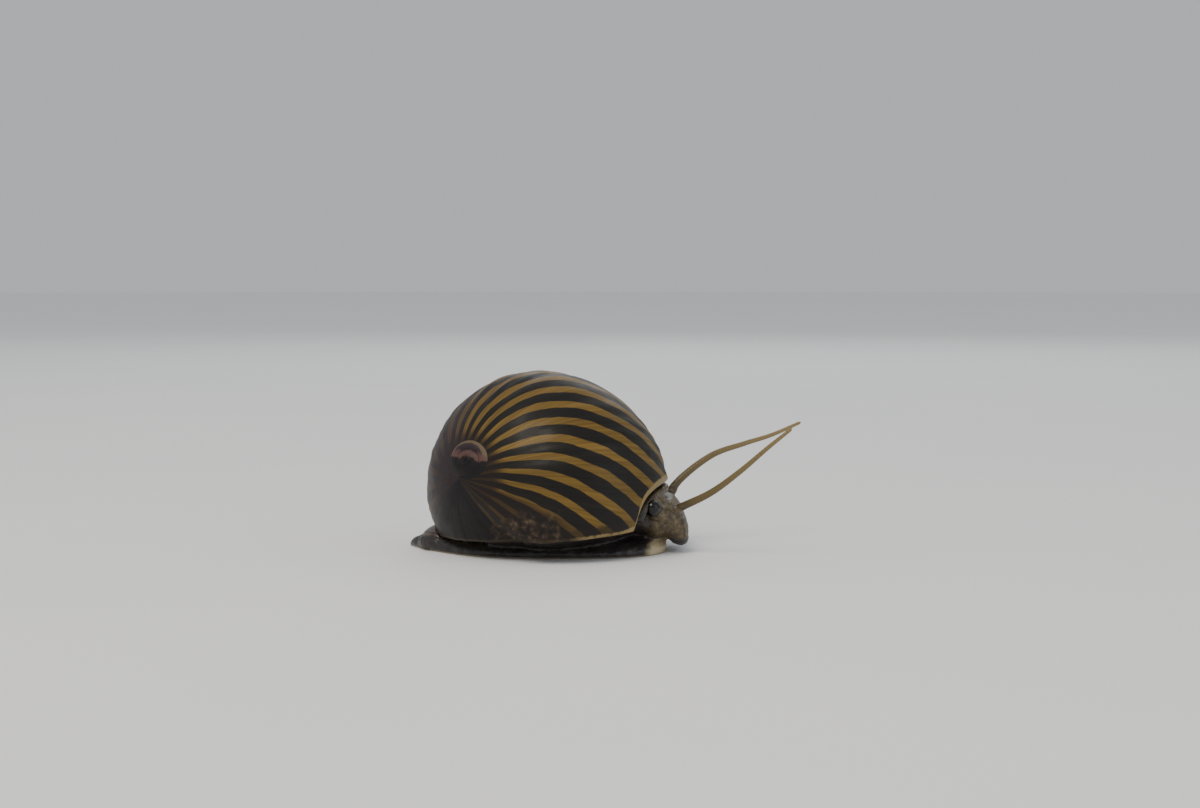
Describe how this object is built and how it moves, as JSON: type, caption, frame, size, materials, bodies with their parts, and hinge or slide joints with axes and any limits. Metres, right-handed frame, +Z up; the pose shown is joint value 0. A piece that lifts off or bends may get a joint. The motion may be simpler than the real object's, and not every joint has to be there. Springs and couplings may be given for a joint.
{
  "type": "striped nerite snail, crawling, life-size still model",
  "caption": "Life-size crawling nerite: low round shell with slanting stripes and worn spire, dark foot with pointed tail, operculum, broad snout, stalked eyes, long feelers.",
  "frame": {"origin": "on the floor, at the flat sole under the middle of the shell", "axes": "+X ahead, the way the snail crawls; +Y to its left; +Z up from the floor"},
  "size_m": [0.0322, 0.0184, 0.0142],
  "materials": {
    "striped_shell": "polished shell, ochre and green-black stripes",
    "worn_spire": "chalky, eroded",
    "shell_callus": "smooth porcelain-like callus",
    "black_skin": "wet black skin, pale sole edge and lips",
    "mantle": "wet dark mantle with a paler margin",
    "operculum": "satin limy lid, dark grey brown",
    "tentacle": "wet olive brown feeler",
    "eye": "glossy black"
  },
  "bodies": {
    "root": {"shell_body_whorl": "striped_shell", "shell_spire": "worn_spire", "shell_deck": "shell_callus", "trunk": "black_skin", "foot_tail": "black_skin", "foot_middle": "black_skin", "foot_front": "black_skin", "operculum": "operculum", "neck": "black_skin", "head": "black_skin", "snout": "black_skin", "mantle_edge": "mantle", "tentacle_right_base": "tentacle", "tentacle_right_middle": "tentacle", "tentacle_right_tip": "tentacle", "tentacle_left_base": "tentacle", "tentacle_left_middle": "tentacle", "tentacle_left_tip": "tentacle", "eye_stalk_right": "black_skin", "eye_stalk_left": "black_skin", "eye_right": "eye", "eye_left": "eye"}
  },
  "joints": []
}
